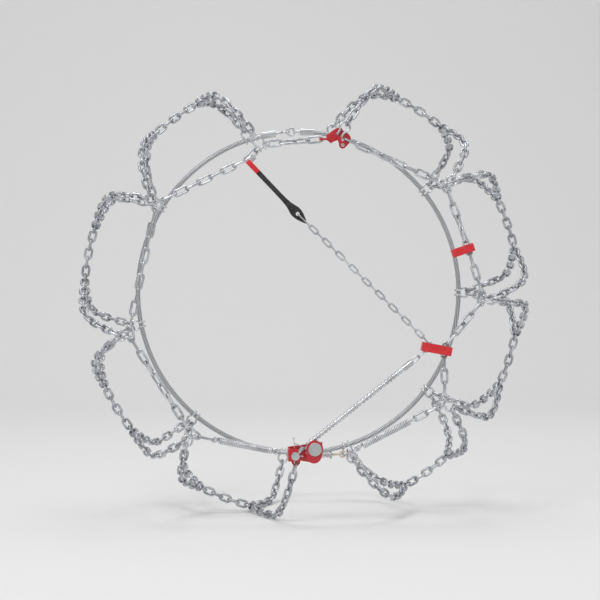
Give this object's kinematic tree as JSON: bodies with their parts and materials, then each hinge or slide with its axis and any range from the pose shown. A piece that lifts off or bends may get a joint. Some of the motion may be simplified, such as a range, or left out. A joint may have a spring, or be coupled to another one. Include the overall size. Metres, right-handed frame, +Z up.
{
  "type": "tire snow chain",
  "caption": "Diamond-pattern snow chain in its fitted shape: link net, outer side chain, closing hook, ratchet tensioner on a toothed rope, rubber strap and rear rope hoop.",
  "frame": {"origin": "centre of the wheel that the chain is fitted to, on the axle, at mid tread", "axes": "+X to the right seen from the outer side, +Y along the axle towards the vehicle, +Z up"},
  "size_m": [0.7649, 0.2932, 0.7343],
  "materials": {
    "galvanised_steel": "dull galvanised, lightly worn",
    "red_steel": "gloss red lacquer",
    "red_plastic": "satin red",
    "zinc_cap": "zinc-plated rivet head",
    "zinc_steel": "bright zinc",
    "black_rubber": "matt black",
    "pale_shank": "pale yellow zinc",
    "toothed_rope": "crimped beads on steel rope",
    "hoop_rope": "stranded steel rope"
  },
  "bodies": {
    "net": {"closing_hook": "red_steel", "closing_hook_rivet": "zinc_steel", "corner_links": "galvanised_steel", "cross_chain_1": "galvanised_steel", "cross_chain_2": "galvanised_steel", "cross_chain_3": "galvanised_steel", "cross_chain_4": "galvanised_steel", "cross_chain_5": "galvanised_steel", "cross_chain_6": "galvanised_steel", "cross_chain_7": "galvanised_steel", "cross_chain_8": "galvanised_steel", "guide_clip": "red_plastic", "inner_hooks": "galvanised_steel", "inner_hoop_eye": "galvanised_steel", "inner_hoop_ferrules": "galvanised_steel", "inner_hoop_hook": "galvanised_steel", "inner_hoop_rope": "hoop_rope", "junction_rings": "galvanised_steel", "node_links": "galvanised_steel", "outer_hooks": "galvanised_steel", "pawl_axle": "zinc_cap", "pawl_spring": "zinc_steel", "ratchet_body": "red_steel", "ratchet_wheel_axle": "zinc_cap", "ratchet_wheel_cover": "red_steel", "side_chain_a_b": "galvanised_steel", "side_chain_b_c": "galvanised_steel", "side_chain_c_d": "galvanised_steel", "side_chain_g_h": "galvanised_steel", "side_chain_h_i": "galvanised_steel", "side_chain_hook_a": "galvanised_steel", "side_chain_i_j": "galvanised_steel", "spring_end_link": "galvanised_steel", "spring_left": "galvanised_steel", "spring_right": "galvanised_steel", "tread_bar_1": "galvanised_steel", "tread_bar_2": "galvanised_steel", "tread_bar_3": "galvanised_steel", "tread_bar_4": "galvanised_steel", "tread_bar_5": "galvanised_steel", "tread_bar_6": "galvanised_steel", "tread_bar_7": "galvanised_steel", "tread_bar_8": "galvanised_steel"},
    "wheel": {"ratchet_wheel": "zinc_steel", "rope_wrap": "toothed_rope"},
    "rope_run_end": {"rope_run": "toothed_rope", "rope_run_sleeves": "zinc_steel", "rope_eye": "zinc_steel"},
    "rope_tail_end": {"rope_tail": "toothed_rope", "t_stopper": "zinc_steel", "anchor_hook": "pale_shank", "anchor_link": "galvanised_steel"},
    "pawl_arm": {"pawl": "zinc_steel", "release_lever": "zinc_steel"},
    "keeper": {"closing_hook_keeper": "red_steel"},
    "pull_line": {"tension_chain": "galvanised_steel", "rubber_strap": "black_rubber", "strap_sleeve": "red_plastic", "strap_hook": "zinc_steel"},
    "spare_loop": {"spare_clip": "red_plastic"}
  },
  "joints": [
    {"name": "ratchet_wheel_turn", "type": "hinge", "parent": "net", "child": "wheel", "pos_m": [0.0104, -0.138, -0.2501], "axis": [0, 1, 0], "range_deg": [0, 8]},
    {"name": "rope_run_pull", "type": "slide", "parent": "net", "child": "rope_run_end", "axis": [0.7861, 0, 0.6181], "range_m": [0, 0.00175]},
    {"name": "rope_tail_take_up", "type": "slide", "parent": "net", "child": "rope_tail_end", "axis": [-0.9945, 0, -0.1045], "range_m": [0, 0.0018], "deforming": ["spring_right"]},
    {"name": "pawl_lift", "type": "hinge", "parent": "net", "child": "pawl_arm", "pos_m": [-0.0218, -0.137, -0.2614], "axis": [0, -1, 0], "range_deg": [0, 15]},
    {"name": "keeper_turn", "type": "hinge", "parent": "net", "child": "keeper", "pos_m": [0.0574, -0.131, 0.2526], "axis": [0, -1, 0], "range_deg": [0, 70]},
    {"name": "pull_line_swing", "type": "hinge", "parent": "net", "child": "pull_line", "pos_m": [0.17834, -0.138, -0.05324], "axis": [0.7, 0, 0.7142], "range_deg": [0, 60]},
    {"name": "spare_clip_slide", "type": "slide", "parent": "net", "child": "spare_loop", "axis": [-0.3206, 0, 0.9472], "range_m": [-0.02, 0.02]}
  ],
  "couplings": [
    {"joint": "ratchet_wheel_turn", "follows": "rope_run_pull", "rad_per_m": 79.333},
    {"joint": "rope_tail_take_up", "follows": "rope_run_pull", "ratio": 1}
  ]
}
